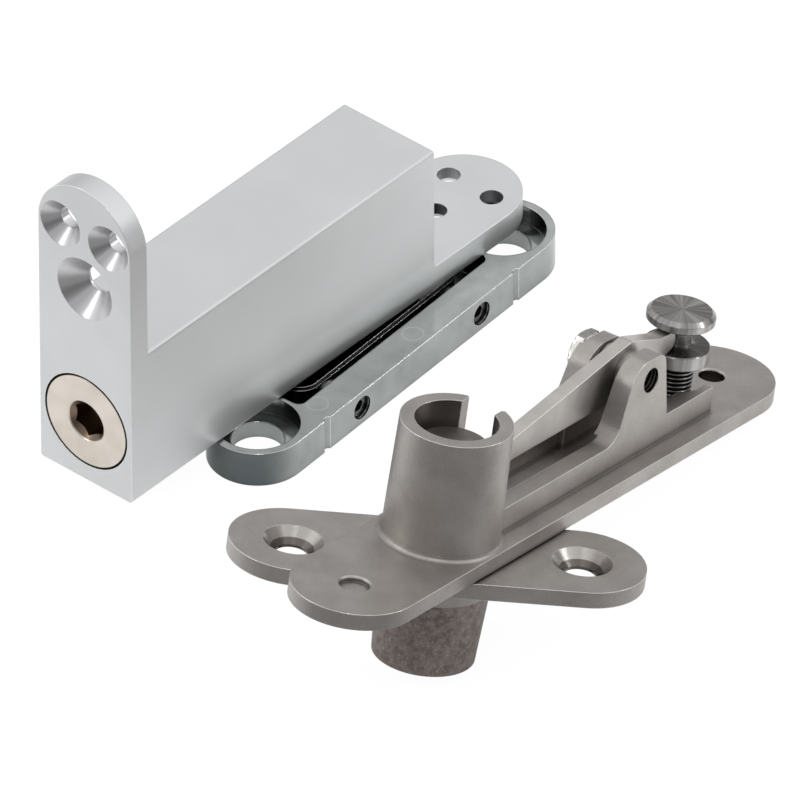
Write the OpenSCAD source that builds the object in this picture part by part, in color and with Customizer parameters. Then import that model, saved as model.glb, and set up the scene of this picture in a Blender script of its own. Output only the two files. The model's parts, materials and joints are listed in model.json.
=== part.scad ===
// Pivot hinge set for a swing door: a self-closing bottom pivot with its floor bracket, and a top pivot
// with a walking-beam lever that draws the pin. Millimetres. The origin is on the floor plane, on the
// spindle's axis. +X runs from the closer's front to its rear, +Y to its far side and +Z up.

/* [Closer body] */
// Width of the aluminium block
body_w = 28; // [27:0.5:34]
// Height of the block
body_h = 40.5; // [38:0.5:50]
// Length of the block
body_len = 106.2; // [96:1:160]
// Distance from the front face to the spindle's axis
spindle_setback = 20; // [19.5:0.5:26]
// Size of the break on the block's long edges
edge_break = 0.8; // [0.3:0.1:1.5]
// Thickness of the upright front tab
front_tab_t = 5.8; // [5:0.1:8]
// Height of the front tab's top above the block's underside
front_tab_top = 84; // [76:1:100]
// Thickness of the flat rear tab
rear_tab_t = 6.5; // [5:0.1:8]
// Reach of the rear tab behind the block
rear_tab_reach = 40.5; // [36:0.5:50]

/* [Tab holes] */
// Diameter of the small screw holes
small_hole_d = 5.6; // [4:0.1:6]
// Diameter of the small screw holes' countersinks
small_sink_d = 12.2; // [10:0.1:13]
// Diameter of the front tab's large hole
large_hole_d = 6.6; // [5:0.1:7.5]
// Diameter of the large hole's countersink
large_sink_d = 16.7; // [14:0.1:17]
// Distance between the front tab's two small holes
front_pair_pitch = 14.6; // [13.5:0.1:15]
// Height of the front pair above the block's underside
front_pair_h = 70.7; // [69:0.1:74]
// Height of the large hole above the block's underside
front_single_h = 55.4; // [52:0.1:57]
// Distance between the rear tab's two outer holes
rear_pair_pitch = 13.2; // [13:0.1:15]
// Distance from the block's rear face to the rear tab's outer pair
rear_pair_x = 29.1; // [28:0.1:31]
// Distance from the block's rear face to the rear tab's inner hole
rear_single_x = 16.7; // [12:0.1:18]

/* [Cylinder and plug] */
// Bore of the spring cylinder
bore_d = 20; // [19.8:0.1:20.5]
// Height of the cylinder's axis above the block's underside
bore_h = 16.9; // [16:0.1:20]
// Thickness of the cylinder's closed rear end
bore_end_wall = 6; // [4:0.5:10]
// Diameter of the plug's head
plug_d = 24.8; // [23.5:0.1:25.2]
// Thickness of the plug's head
plug_head_t = 5; // [4.5:0.1:5.5]
// Length of the plug's shank in the bore
plug_shank_len = 5.4; // [4:0.1:5.4]
// Width across the flats of the plug's hex socket
socket_af = 8; // [6:0.5:9]
// Depth of the plug's hex socket
socket_depth = 6.5; // [4:0.5:7.5]
// Radial gap round the plug's head
plug_gap = 0.25; // [0.1:0.05:0.5]

/* [Spindle and cam] */
// Diameter of the spindle's lower journal
journal_d = 14; // [13:0.1:15]
// Diameter of the spindle's upper journal
top_journal_d = 12; // [10:0.1:13]
// Diameter of the spindle beside the cam
neck_d = 10; // [9:0.1:10.4]
// How far the spindle's foot stands out below the block
foot_drop = 9.2; // [8:0.1:12]
// Width across the flats of the spindle's foot
foot_flats = 7; // [6:0.1:7.6]
// Thickness of the heart cam
cam_t = 5.8; // [5:0.1:6]
// Distance from the spindle's axis to the roller's axis with the door shut
cam_start = 8.5; // [8.4:0.05:8.6]
// Piston stroke for each degree of spindle turn
cam_lead = 0.042; // [0.03:0.001:0.042]
// Largest angle that the spindle turns
swing_angle = 105; // [80:1:105]
// Diameter of the cam roller
roller_d = 8; // [7.6:0.1:8.2]
// Diameter of the roller's axle
roller_axle_d = 4; // [3:0.1:4.4]
// Length of the piston
piston_len = 14; // [10:0.5:20]
// Wire diameter of the closing spring
wire_d = 2.6; // [2:0.1:3]
// Number of turns of the closing spring
spring_turns = 8; // [6:1:12]
// Thickness of the seat at the spring's fixed end
seat_t = 2.5; // [2:0.1:4]
// Length of the seat's spigot inside the spring
seat_guide_len = 5; // [3:0.5:8]

/* [Bearings] */
// Outer diameter of the lower bearing
lower_bearing_d = 21; // [19:0.1:22]
// Height of the lower bearing
lower_bearing_h = 6.4; // [5:0.1:6.6]
// Outer diameter of the upper bearing
upper_bearing_d = 16; // [14:0.1:17]
// Height of the upper bearing
upper_bearing_h = 7; // [5:0.1:8]
// Radial clearance of every turning or sliding fit
running_gap = 0.05; // [0.02:0.01:0.1]
// Section of the two seal rings
seal_section = 1.6; // [1.2:0.1:2]

/* [Floor bracket] */
// Distance between the bracket's two end holes
bracket_pitch = 92.7; // [88:0.1:110]
// Width of the bracket
bracket_w = 24; // [23:0.1:26]
// Bottom diameter of the end pockets
pocket_d = 20; // [17:0.1:20.5]
// Depth of the end pockets
pocket_depth = 4.8; // [3:0.1:6]
// Diameter of the end holes
bracket_hole_d = 12.6; // [10:0.1:14]
// Thickness of the wall that the set screws pass through
screw_wall = 8; // [6:0.1:8.5]
// Thickness of the opposite wall
back_wall = 2; // [1.5:0.1:2.5]
// Length of the slot
slot_len = 71; // [64:0.5:72]
// Length of the sliding shoe
shoe_len = 60; // [54:0.5:62]
// Height of the shoe's top above the bracket's underside
shoe_top = 7.6; // [6:0.1:9]
// Thickness of the bracket's floor under the shoe
slot_floor = 1.6; // [1:0.1:2.5]
// Gap between the screw wall and the shoe, which the set screws bridge
shoe_offset = 3.2; // [2.8:0.1:3.6]
// Distance between the two set screws
set_screw_pitch = 45; // [38:0.5:50]
// Thread diameter of the set screws
set_screw_d = 6; // [4:0.5:6]
// Radius of the vertical cast grooves in the bracket's sides
side_groove_r = 1.1; // [0.6:0.1:1.4]
// Distance between the side grooves
side_groove_pitch = 71; // [66:0.5:76]
// Where the bracket's middle lies behind the spindle
bracket_x = 68; // [66:0.5:75]
// Where the bracket's middle lies beside the spindle
bracket_y = -13.6; // [-15:0.1:-12]
// How far the bracket lies turned from the closer
bracket_turn = 2.8; // [0:0.1:5]

/* [Frame plate] */
// Width of the frame plate
plate_w = 30; // [28:0.5:34]
// Thickness of the frame plate
plate_t = 4; // [3:0.1:5]
// Distance from the pin's axis to the recess at the near end
near_end = 35.1; // [32:0.1:40]
// Distance from the pin's axis to the far end hole
far_end = 113.6; // [110.5:0.1:120]
// Diameter of the recess at the near end
near_hole_d = 7; // [6:0.1:8]
// Diameter of the far end hole
far_hole_d = 6.1; // [5:0.1:7]
// Height of the ribs above the plate
rib_h = 6.2; // [5:0.1:7]
// Thickness of each rib
rib_t = 4.8; // [4:0.1:5.2]
// Width over both ribs at the plate
ribs_w = 19.6; // [19:0.1:20.6]
// Distance from the pin's axis to the ribs' far end
rib_end = 98.2; // [96.5:0.1:99.5]
// Thickness of each ear at the lever's hub
ear_t = 5.9; // [5.2:0.1:6.4]
// Diameter of the pocket round the adjusting screw
screw_pocket_d = 14.8; // [13:0.1:16]
// Depth of the blind recess at the near end
near_recess = 1.3; // [0.8:0.1:2]
// Draft of the cast ribs and ears, in degrees
draft = 3; // [1:0.5:4]
// Diameter of the boss at the plate
boss_base_d = 27.6; // [26:0.1:28]
// Diameter of the boss at its rim
boss_top_d = 26.4; // [26:0.1:28]
// Height of the boss
boss_h = 29.4; // [28:0.5:33]
// Width of the slot in the boss
boss_slot_w = 9; // [7:0.1:11]
// Radius of the fillet round the boss's foot
boss_fillet = 1.2; // [0.8:0.1:3]
// Height of the thread boss round the adjusting screw
screw_boss_h = 2.4; // [1.5:0.1:4]

/* [Lever and pin] */
// Diameter of the pivot pin
pin_d = 19.6; // [18:0.1:20]
// Height of the pin's head above the frame plate
pin_top = 23.4; // [22:0.1:25]
// How far the pin reaches into the door plate's socket
pin_engage = 13.2; // [10:0.1:13.5]
// How far the lever draws the pin
pin_travel = 14; // [12:0.5:14]
// Distance from the pin's axis to the lever's bolt
lever_arm = 70.3; // [69:0.1:73]
// Height of the lever's bolt above the frame plate
lever_bolt_h = 17.8; // [17:0.1:19]
// Thickness of the lever
lever_t = 3.5; // [3:0.1:5]
// Radius of the lever's nose in the pin
nose_r = 4; // [3.4:0.1:4.4]
// Height of the lever's nose above the frame plate at rest
nose_h = 10.4; // [9.8:0.1:11]
// Radius of the lever's toe in the screw's groove
toe_r = 2.5; // [2.2:0.1:2.6]
// Thread diameter of the lever's bolt
bolt_d = 6; // [5:0.5:6.5]
// Width across the flats of the bolt's head
bolt_af = 10; // [8:0.5:10]
// Thickness of the bolt's head
bolt_head_t = 3.6; // [3:0.1:5]

/* [Adjusting screw] */
// Distance from the pin's axis to the adjusting screw
screw_u = 95.2; // [94:0.1:97]
// Distance from the adjusting screw's axis back to the middle of the lever's toe
toe_back = 6.6; // [6.3:0.1:7]
// Thread diameter of the adjusting screw
screw_d = 9.9; // [8:0.1:10]
// Pitch of the thread
screw_pitch = 1.5; // [1.25:0.25:1.5]
// Diameter of the collar under the groove
collar_d = 15.8; // [14:0.1:17]
// Height of the collar's underside above the plate
collar_h = 11.5; // [11:0.1:12]
// Thickness of the collar
collar_t = 3.7; // [3:0.1:4]
// Diameter of the neck between the collar and the disc
neck_screw_d = 6.2; // [5:0.1:6.6]
// Width of the groove that holds the lever's toe
groove_w = 6; // [5.9:0.1:6.4]
// Diameter of the disc
disc_d = 16.3; // [14:0.1:18]
// Thickness of the disc
disc_t = 2.8; // [2:0.1:4]

/* [Door plate] */
// Width of the door plate
door_w = 30; // [29:0.5:34]
// Thickness of the door plate
door_t = 4; // [3:0.1:5]
// Distance between the door plate's screw holes
door_pitch = 66.7; // [62:0.1:80]
// Diameter of the door plate's screw holes
door_hole_d = 7.5; // [6:0.1:8]
// Diameter of the door plate's countersinks
door_sink_d = 14.2; // [11:0.1:14.4]
// Gap between the frame plate and the door plate
plates_gap = 0.4; // [0.2:0.1:1]
// Depth of the socket below the door plate
socket_h = 22.4; // [18:0.1:26]
// Diameter of the socket under the door plate
socket_top_d = 27; // [26:0.1:28]
// Diameter of the socket at its lower rim
socket_bottom_d = 24; // [23.6:0.1:26]
// Wall of the bearing bush in the socket
bush_wall = 1; // [0.6:0.1:1.2]
// How far the door plate lies turned from the frame plate
door_turn = -51.5; // [-60:0.1:-46]

/* [Top pivot place] */
// Where the top pivot lies behind the spindle
top_x = -4.2; // [-10:0.1:2]
// Where the top pivot lies beside the spindle
top_y = -94.1; // [-110:0.1:-88]
// How far the top pivot lies turned from the closer
top_turn = 6.2; // [3:0.1:10]

/* [Hidden] */
$fn = 64;
eps = 0.01;

// Closer, from its driving sizes
front_x = -spindle_setback;
rear_x = front_x + body_len;
body_z = foot_drop;
bore_z = body_z + bore_h;
plug_seat_x = front_x + plug_head_t;
bore_end_x = rear_x - bore_end_wall;
tab_round = body_w / 2;
lead_rad = cam_lead * 180 / PI;
cam_stroke = cam_lead * swing_angle;
roller_r = roller_d / 2;
cam_gap = 0.1;
piston_r = bore_d / 2 - running_gap;
piston_x = cam_start + roller_r + 0.5;
fork_gap = 0.3;
fork_inner = cam_t / 2 + fork_gap;
upper_bearing_z = bore_z + bore_d / 2 + 0.5;
spindle_top_z = upper_bearing_z + upper_bearing_h - 0.6;

// Bracket: its slot lies off the centre line, towards the back wall
slot_y0 = screw_wall - bracket_w / 2;
slot_y1 = bracket_w / 2 - back_wall;
shoe_y0 = slot_y0 + shoe_offset;
shoe_y1 = slot_y1 - running_gap * 4;
shoe_w = shoe_y1 - shoe_y0;

// Top pivot: it leans so that the socket's lower rim and the frame plate's far end both touch the floor
frame_bottom = -plate_t;
door_top = frame_bottom - plates_gap;
door_bottom = door_top - door_t;
socket_bottom = door_bottom - socket_h;
plate_tip = far_end + plate_w / 2;
lean = atan((-socket_bottom - plate_t) / (plate_tip - socket_bottom_d / 2));
top_z = socket_bottom_d / 2 * sin(lean) - socket_bottom * cos(lean);
boss_bore_d = pin_d + 2 * running_gap;
pin_bottom = door_top - pin_engage;
groove_bottom = collar_h + collar_t;
groove_top = groove_bottom + groove_w;
toe_u = screw_u - toe_back;
toe_h = (groove_bottom + groove_top) / 2;
// Angle that the lever turns while the pin travels, and how far the screw goes down meanwhile
nose_radius = norm([lever_arm, nose_h - lever_bolt_h]);
nose_angle = asin((nose_h - lever_bolt_h) / nose_radius);
lever_swing = asin((nose_h - lever_bolt_h + pin_travel) / nose_radius) - nose_angle;
toe_radius = norm([toe_u - lever_arm, toe_h - lever_bolt_h]);
toe_angle = atan2(toe_h - lever_bolt_h, toe_u - lever_arm);
screw_travel = toe_radius * (sin(toe_angle) - sin(toe_angle - lever_swing));
screw_tip = screw_travel - plate_t + 0.2;

// Direction from a circle's centre to where the line that goes on to circle b touches it, on the left
function tangent_angle(a, ra, b, rb) = let (d = b - a) atan2(d.y, d.x) + acos((ra - rb) / norm(d));
function arc(c, r, a0, a1, n) =
    [for (i = [0 : n]) let (a = a0 + (a1 - a0) * i / n) c + r * [cos(a), sin(a)]];

module in_closer_z(x, z) { translate([x, 0, z]) children(); }
module along_x(x) { translate([x, 0, bore_z]) rotate([0, 90, 0]) children(); }
module at_bracket() { translate([bracket_x, bracket_y, 0]) rotate([0, 0, bracket_turn]) children(); }
module at_top() {
    translate([top_x, top_y, top_z]) rotate([0, 0, top_turn]) rotate([0, lean, 0]) children();
}
// Turns a drawing of length and height up, with its thickness across the top pivot
module upright(t) { rotate([90, 0, 0]) translate([0, 0, -t / 2]) linear_extrude(t) children(); }
module stadium(pitch, w) {
    square([pitch, w], center = true);
    for (s = [-1, 1]) translate([s * pitch / 2, 0]) circle(d = w);
}
module sunk_hole(hole_d, sink_d, t) {
    translate([0, 0, -t - 1]) cylinder(d = hole_d, h = t + 2);
    translate([0, 0, -(sink_d - hole_d) / 2]) cylinder(d1 = hole_d, d2 = sink_d, h = (sink_d - hole_d) / 2);
    translate([0, 0, -eps]) cylinder(d = sink_d, h = 1);
}
module ring(outer_d, inner_d, h) {
    difference() {
        cylinder(d = outer_d, h = h);
        translate([0, 0, -1]) cylinder(d = inner_d, h = h + 2);
    }
}
module seal_ring(inner_d) {
    rotate_extrude() translate([inner_d / 2 + seal_section / 2, 0]) circle(d = seal_section, $fn = 24);
}

// ---- Closer ----
module body_section() {
    r = edge_break;
    square([body_h - 2 * r, body_w], center = true);
    square([body_h, body_w - 2 * r], center = true);
    for (sx = [-1, 1], sy = [-1, 1])
        translate([sx * (body_h / 2 - r), sy * (body_w / 2 - r)]) circle(r = r);
}
module front_tab() {
    straight = front_tab_top - tab_round;
    in_closer_z(front_x, body_z) rotate([90, 0, 90]) linear_extrude(front_tab_t) {
        translate([-body_w / 2, body_h / 2]) square([body_w, straight - body_h / 2]);
        translate([0, straight]) circle(r = tab_round);
    }
}
module rear_tab() {
    straight = rear_tab_reach - tab_round;
    in_closer_z(rear_x, body_z) linear_extrude(rear_tab_t) {
        translate([-5, -body_w / 2]) square([straight + 5, body_w]);
        translate([straight, 0]) circle(r = tab_round);
    }
}
module closer_bores() {
    along_x(front_x - 1) cylinder(d = plug_d + 2 * plug_gap, h = plug_head_t + 1);
    along_x(plug_seat_x - 1) cylinder(d = bore_d, h = bore_end_x - plug_seat_x + 1);
    in_closer_z(0, body_z - 1) cylinder(d = lower_bearing_d, h = bore_h + 1);
    in_closer_z(0, bore_z) cylinder(d = upper_bearing_d, h = upper_bearing_z + upper_bearing_h - bore_z);
}
module front_tab_holes() {
    for (s = [-1, 1])
        translate([front_x, s * front_pair_pitch / 2, body_z + front_pair_h]) rotate([0, -90, 0])
            sunk_hole(small_hole_d, small_sink_d, front_tab_t);
    translate([front_x, 0, body_z + front_single_h]) rotate([0, -90, 0])
        sunk_hole(large_hole_d, large_sink_d, front_tab_t);
}
module rear_tab_holes() {
    for (p = [[rear_pair_x, -rear_pair_pitch / 2], [rear_pair_x, rear_pair_pitch / 2], [rear_single_x, 0]])
        translate([rear_x + p.x, p.y, body_z]) rotate([180, 0, 0])
            sunk_hole(small_hole_d, small_sink_d, rear_tab_t);
}
module closer_body() {
    color("lightgray") difference() {
        union() {
            in_closer_z(front_x, body_z + body_h / 2) rotate([0, 90, 0])
                linear_extrude(body_len) body_section();
            front_tab();
            rear_tab();
        }
        closer_bores();
        front_tab_holes();
        rear_tab_holes();
    }
}
module bore_plug() {
    color("tan") along_x(front_x) difference() {
        union() {
            translate([0, 0, 0.4]) cylinder(d = plug_d, h = plug_head_t - 0.45 - seal_section);
            cylinder(d1 = plug_d - 0.8, d2 = plug_d, h = 0.4);
            cylinder(d = bore_d + 0.7, h = plug_head_t - running_gap);
            cylinder(d = bore_d - 2 * running_gap, h = plug_head_t + plug_shank_len);
        }
        translate([0, 0, -1]) cylinder(d = socket_af * 2 / sqrt(3), h = socket_depth + 1, $fn = 6);
        translate([0, 0, -eps]) cylinder(d1 = socket_af * 1.38, d2 = socket_af, h = socket_af * 0.19);
    }
}
module plug_seal() {
    color("black") along_x(plug_seat_x - seal_section / 2) seal_ring(bore_d + 0.8);
}
// Outline of the heart cam: the path of the roller's axis, moved inwards by the roller and the running gap
function cam_edge(a, side) =
    let (reach = cam_start + cam_lead * a, slope = atan(lead_rad / reach), back = roller_r + cam_gap)
    [reach * cos(a) - back * cos(a - slope), side * (reach * sin(a) - back * sin(a - slope))];
function cam_valley(a) = [cam_start - (roller_r + cam_gap) * cos(a), (roller_r + cam_gap) * sin(a)];
module cam_outline() {
    valley = atan(lead_rad / cam_start);
    last = swing_angle + 12;
    lobe = cam_edge(last, 1);
    lobe_r = norm(lobe);
    lobe_a = atan2(lobe.y, lobe.x);
    polygon([
        for (a = [0 : 3 : last]) cam_edge(a, 1),
        for (a = [lobe_a : (360 - 2 * lobe_a) / 24 : 360 - lobe_a + eps]) lobe_r * [cos(a), sin(a)],
        for (a = [last - last % 3 : -3 : 0]) cam_edge(a, -1),
        for (a = [-valley : valley / 3 : valley]) cam_valley(a)
    ]);
}
module spindle() {
    journal_top = bore_z - bore_d / 2 - 0.3;
    color("dimgray") {
        in_closer_z(0, body_z - eps) cylinder(d = journal_d - 2 * running_gap, h = journal_top - body_z);
        in_closer_z(0, body_z) cylinder(d = neck_d, h = bore_z - cam_t / 2 - body_z + eps);
        in_closer_z(0, bore_z + cam_t / 2 - eps)
            cylinder(d = neck_d, h = upper_bearing_z - bore_z - cam_t / 2 + eps);
        in_closer_z(0, upper_bearing_z - 0.2)
            cylinder(d = top_journal_d - 2 * running_gap, h = spindle_top_z - upper_bearing_z + 0.2);
        in_closer_z(0, bore_z - cam_t / 2) linear_extrude(cam_t) cam_outline();
        intersection() {
            union() {
                cylinder(d1 = journal_d - 4, d2 = journal_d - 2, h = 1);
                translate([0, 0, 1]) cylinder(d = journal_d - 2, h = foot_drop - 1);
            }
            translate([-journal_d / 2, -foot_flats / 2, 0]) cube([journal_d, foot_flats, foot_drop]);
        }
    }
}
module upper_bearing() {
    color("darkgoldenrod") in_closer_z(0, upper_bearing_z)
        ring(upper_bearing_d, top_journal_d, upper_bearing_h - 0.3);
}
module lower_bearing() {
    color("darkgoldenrod") in_closer_z(0, body_z) difference() {
        ring(lower_bearing_d, journal_d, lower_bearing_h);
        translate([0, 0, 1.4]) cylinder(d = journal_d + 2 * seal_section, h = seal_section + 0.2);
    }
}
module spindle_seal() {
    color("black") in_closer_z(0, body_z + 1.5 + seal_section / 2) seal_ring(journal_d);
}
module piston() {
    axle_r = roller_axle_d / 2;
    arm_reach = axle_r + 1;
    color("silver") difference() {
        intersection() {
            along_x(0) cylinder(r = piston_r, h = piston_x + piston_len);
            union() {
                translate([piston_x, -bore_d, bore_z - bore_d]) cube([piston_len, 2 * bore_d, 2 * bore_d]);
                for (s = [-1, 1])
                    translate([0, 0, bore_z + s * (fork_inner + bore_d / 2)]) {
                        translate([cam_start, 0, -bore_d / 2]) cylinder(r = arm_reach, h = bore_d);
                        translate([cam_start, -arm_reach, -bore_d / 2])
                            cube([piston_x - cam_start + 1, 2 * arm_reach, bore_d]);
                    }
            }
        }
        in_closer_z(cam_start, bore_z - bore_d / 2) cylinder(d = roller_axle_d, h = bore_d);
        along_x(piston_x + 4) cylinder(d = bore_d / 2, h = piston_len);
    }
}
module roller() {
    h = cam_t - 0.2;
    color("slategray") in_closer_z(cam_start, bore_z - h / 2)
        ring(roller_d, roller_axle_d + 2 * running_gap, h);
}
module roller_axle() {
    reach = sqrt(pow(piston_r, 2) - pow(roller_axle_d / 2, 2)) - 0.2;
    color("gray") in_closer_z(cam_start, bore_z - reach) cylinder(d = roller_axle_d, h = 2 * reach);
}
spring_x0 = piston_x + piston_len + wire_d / 2 + 0.1;
spring_x1 = bore_end_x - seat_t - wire_d / 2 - 0.1;
spring_r = bore_d / 2 - wire_d / 2 - 0.6;
module main_spring() {
    sides = 6;
    steps = spring_turns * 14;
    rise = spring_x1 - spring_x0;
    ring_points = [for (i = [0 : steps], j = [0 : sides - 1])
        let (a = 360 * spring_turns * i / steps, b = 360 * j / sides, r = spring_r + wire_d / 2 * cos(b))
        [spring_x0 + rise * i / steps + wire_d / 2 * sin(b), r * cos(a), bore_z + r * sin(a)]];
    walls = [for (i = [0 : steps - 1], j = [0 : sides - 1])
        let (k = (j + 1) % sides, p = i * sides, q = p + sides) [p + j, q + j, q + k, p + k]];
    color("darkslategray") polyhedron(ring_points, concat(walls,
        [[for (j = [0 : sides - 1]) j]], [[for (j = [sides - 1 : -1 : 0]) steps * sides + j]]), 4);
}
module spring_seat() {
    color("gray") along_x(bore_end_x - seat_t) {
        cylinder(d = bore_d - 2 * running_gap, h = seat_t);
        translate([0, 0, -seat_guide_len]) cylinder(d = 2 * spring_r - wire_d - 1, h = seat_guide_len + 0.5);
    }
}

// ---- Floor bracket ----
module slot_outline(x, y0, y1, r) {
    for (sx = [-1, 1], y = [y0 + r, y1 - r]) translate([sx * (x / 2 - r), y]) circle(r = r);
    translate([-x / 2 + r, y0]) square([x - 2 * r, y1 - y0]);
    translate([-x / 2, y0 + r]) square([x, y1 - y0 - 2 * r]);
}
module floor_bracket() {
    color("lightsteelblue") at_bracket() difference() {
        linear_extrude(foot_drop) stadium(bracket_pitch, bracket_w);
        for (s = [-1, 1]) translate([s * bracket_pitch / 2, 0, 0]) {
            translate([0, 0, -1]) cylinder(d = bracket_hole_d, h = foot_drop + 2);
            translate([0, 0, foot_drop - pocket_depth]) cylinder(d = pocket_d, h = pocket_depth + 1);
        }
        translate([0, 0, slot_floor]) linear_extrude(foot_drop) slot_outline(slot_len, slot_y0, slot_y1, 2);
        for (sx = [-1, 1], sy = [-1, 1])
            translate([sx * side_groove_pitch / 2, sy * (bracket_w / 2 + side_groove_r * 0.3), -1])
                cylinder(r = side_groove_r, h = foot_drop + 2);
        for (s = [-1, 1]) translate([s * set_screw_pitch / 2, slot_y0 + 1, foot_drop / 2]) rotate([90, 0, 0])
            cylinder(d = set_screw_d, h = screw_wall + 2);
    }
}
module bracket_shoe() {
    h = shoe_top - slot_floor;
    color("#202020") at_bracket() translate([0, (shoe_y0 + shoe_y1) / 2, slot_floor]) difference() {
        union() {
            linear_extrude(h - 0.6) stadium(shoe_len - shoe_w, shoe_w);
            linear_extrude(h) stadium(shoe_len - shoe_w, shoe_w - 1.2);
        }
        translate([0, 0, -1]) intersection() {
            cylinder(d = journal_d - 2 + 0.3, h = h + 2);
            translate([-journal_d / 2, -foot_flats / 2 - 0.15, 0])
                cube([journal_d, foot_flats + 0.3, h + 2]);
        }
    }
}
module set_screw(s) {
    recess = 1.2;
    socket = set_screw_d / 2;
    len = screw_wall + shoe_offset - recess - running_gap;
    color("gray") at_bracket() translate([s * set_screw_pitch / 2, recess - bracket_w / 2, foot_drop / 2])
        rotate([-90, 0, 0]) difference() {
            union() {
                cylinder(d = set_screw_d, h = len - 1);
                cylinder(d = set_screw_d - 1.6, h = len);
            }
            translate([0, 0, -1]) cylinder(d = socket * 2 / sqrt(3), h = socket + 1, $fn = 6);
        }
}
module set_screw_front() { set_screw(-1); }
module set_screw_rear() { set_screw(1); }

// ---- Top pivot: frame plate ----
// Cross-section of ribs and ears, with draft on the outer faces
module drafted_bar(u0, u1, h) {
    top_w = ribs_w - 2 * h * tan(draft);
    translate([u0, 0, 0]) rotate([90, 0, 90]) linear_extrude(u1 - u0)
        polygon([[-ribs_w / 2, 0], [ribs_w / 2, 0], [top_w / 2, h], [-top_w / 2, h]]);
}
// Side view of one ear: a crown round the bolt, a rounded shoulder, and flanks that run down to the rib
module ear_outline() {
    crown = [lever_arm - 1.6, lever_bolt_h - 1.9];
    crown_r = 7.4;
    shoulder = [lever_arm + 2.8, lever_bolt_h + 2.2];
    shoulder_r = 3.1;
    foot_u = lever_arm - 15.2;
    fillet_r = 6;
    foot_a = tangent_angle([foot_u, 0], 0, crown, crown_r);
    top_a = tangent_angle(crown, crown_r, shoulder, shoulder_r);
    end_a = tangent_angle(shoulder, shoulder_r, [lever_arm + 9.5, 0], 0);
    // The flank's direction, a point on it, and the centre of the fillet between it and the rib's top
    flank = [sin(foot_a), -cos(foot_a)];
    on_flank = crown + crown_r * [cos(foot_a), sin(foot_a)];
    fillet_h = rib_h + fillet_r;
    fillet_u = on_flank.x + ((fillet_h - on_flank.y) * flank.x - fillet_r) / flank.y;
    polygon(concat([[fillet_u, 0]], arc([fillet_u, fillet_h], fillet_r, -90, foot_a - 180, 8),
        arc(crown, crown_r, foot_a, top_a, 14), arc(shoulder, shoulder_r, top_a, end_a, 10),
        [[lever_arm + 9.5, 0]]));
}
module boss_solid() {
    cylinder(d1 = boss_base_d, d2 = boss_top_d, h = boss_h);
    // Fillet round the foot
    rotate_extrude() difference() {
        translate([boss_base_d / 2 - 1, 0]) square([boss_fillet + 1, boss_fillet]);
        translate([boss_base_d / 2 + boss_fillet, boss_fillet]) circle(r = boss_fillet);
    }
}
// Channel between the ribs, narrower between the ears, with a round pocket for the adjusting screw
module channel() {
    ear_u0 = lever_arm - 14;
    ear_u1 = lever_arm + 9;
    rib_gap = ribs_w - 2 * rib_t;
    channel_u = boss_base_d / 2 - 2;
    difference() {
        union() {
            translate([channel_u, -rib_gap / 2, 0]) cube([ear_u0 - channel_u, rib_gap, boss_h]);
            translate([channel_u, -ear_gap / 2, 0]) cube([rib_end, ear_gap, boss_h]);
            translate([ear_u1, -rib_gap / 2, 0]) cube([rib_end, rib_gap, boss_h]);
            translate([screw_u, 0, 0]) cylinder(d = screw_pocket_d, h = boss_h);
        }
        translate([screw_u, 0, -1]) cylinder(d = screw_d + 2.4, h = screw_boss_h + 1);
    }
}
module frame_plate() {
    color("rosybrown") at_top() difference() {
        union() {
            translate([(far_end - near_end) / 2, 0, -plate_t])
                linear_extrude(plate_t) stadium(far_end + near_end, plate_w);
            intersection() {
                union() {
                    upright(plate_w) translate([boss_base_d / 2 - 4, 0])
                        square([rib_end - boss_base_d / 2 + 4, rib_h]);
                    upright(plate_w) ear_outline();
                }
                drafted_bar(0, rib_end, boss_h);
            }
            boss_solid();
        }
        channel();
        // Boss bore, and its slot for the lever
        translate([0, 0, -plate_t - 1]) cylinder(d = boss_bore_d, h = plate_t + boss_h + 2);
        translate([0, -boss_slot_w / 2, rib_h - 3]) cube([boss_base_d, boss_slot_w, boss_h]);
        // Screw and bolt holes
        translate([screw_u, 0, -plate_t - 1]) cylinder(d = screw_d + 2 * running_gap, h = plate_t + boss_h);
        translate([lever_arm, plate_w, lever_bolt_h]) rotate([90, 0, 0])
            cylinder(d = bolt_d + 2 * running_gap, h = 2 * plate_w);
        // Flat seat for the bolt's head
        translate([lever_arm, ear_seat, lever_bolt_h]) rotate([-90, 0, 0])
            cylinder(d = bolt_af * 1.35, h = plate_w);
        translate([-near_end, 0, -near_recess]) cylinder(d = near_hole_d, h = near_recess + 1);
        translate([-near_end, 0, -0.4]) cylinder(d1 = near_hole_d, d2 = near_hole_d + 0.8, h = 0.4 + eps);
        translate([far_end, 0, 0]) sunk_hole(far_hole_d, far_hole_d + 0.8, plate_t);
    }
}
ear_half = ribs_w / 2 - lever_bolt_h * tan(draft);
ear_seat = ear_half - 1.2;
ear_gap = ribs_w - 2 * ear_t;

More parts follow.
